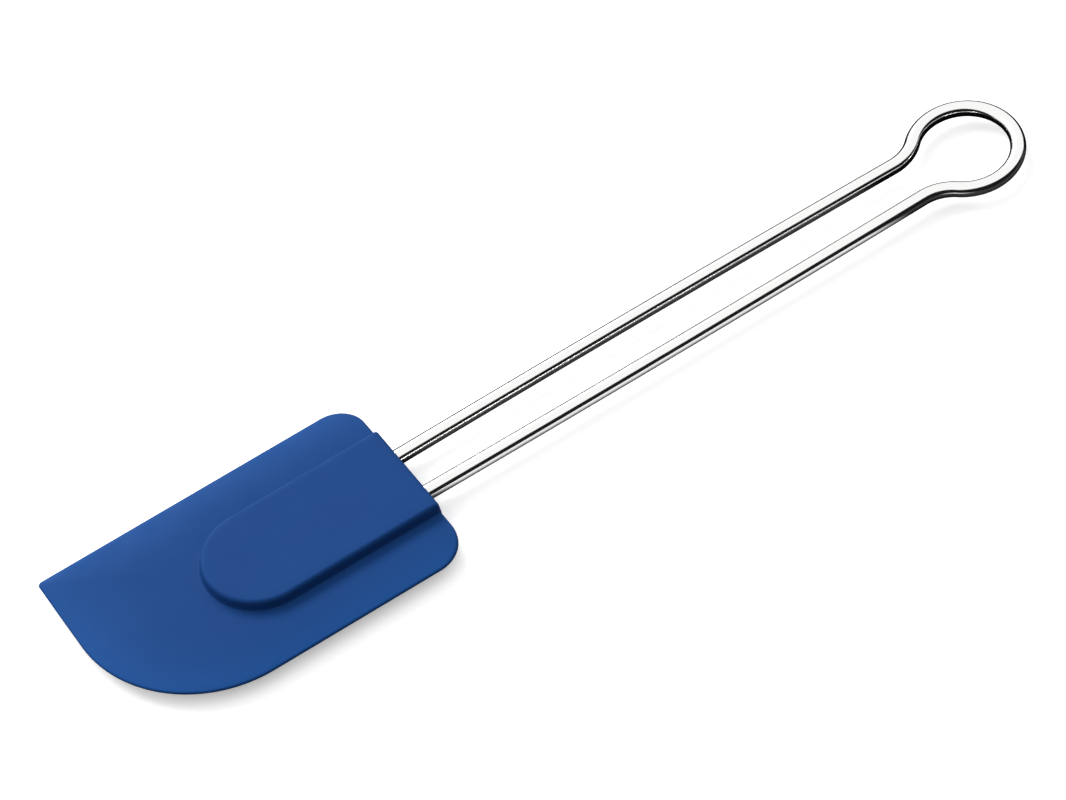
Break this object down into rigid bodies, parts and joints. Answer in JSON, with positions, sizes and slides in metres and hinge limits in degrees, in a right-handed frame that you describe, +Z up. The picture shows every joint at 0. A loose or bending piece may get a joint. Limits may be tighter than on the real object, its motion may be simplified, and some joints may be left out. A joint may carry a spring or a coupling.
{
  "type": "silicone dough scraper",
  "caption": "Kitchen scraper with a flexible silicone blade, one large rounded corner, a raised boss on each face, and a bent wire handle that ends in a hanging ring.",
  "frame": {"origin": "under the middle of the whole tool, on the surface that the boss lies on", "axes": "+X along the handle from the blade to the hanging ring, +Y across the blade, +Z up, through the blade's thickness"},
  "size_m": [0.2676, 0.0566, 0.008],
  "materials": {
    "polished_wire": "mirror-polished stainless steel wire",
    "core_plastic": "glass-filled nylon, as moulded",
    "silicone": "satin silicone rubber"
  },
  "bodies": {
    "handle": {"wire_handle": "polished_wire", "core_insert": "core_plastic", "silicone_head": "silicone"},
    "lip": {"blade_lip": "silicone"}
  },
  "joints": [
    {"name": "lip_flex", "type": "hinge", "parent": "handle", "child": "lip", "pos_m": [-0.10785, 0, 0.004], "axis": [0, 1, 0], "range_deg": [-35, 35], "stiffness_Nm_per_rad": 0.01}
  ]
}
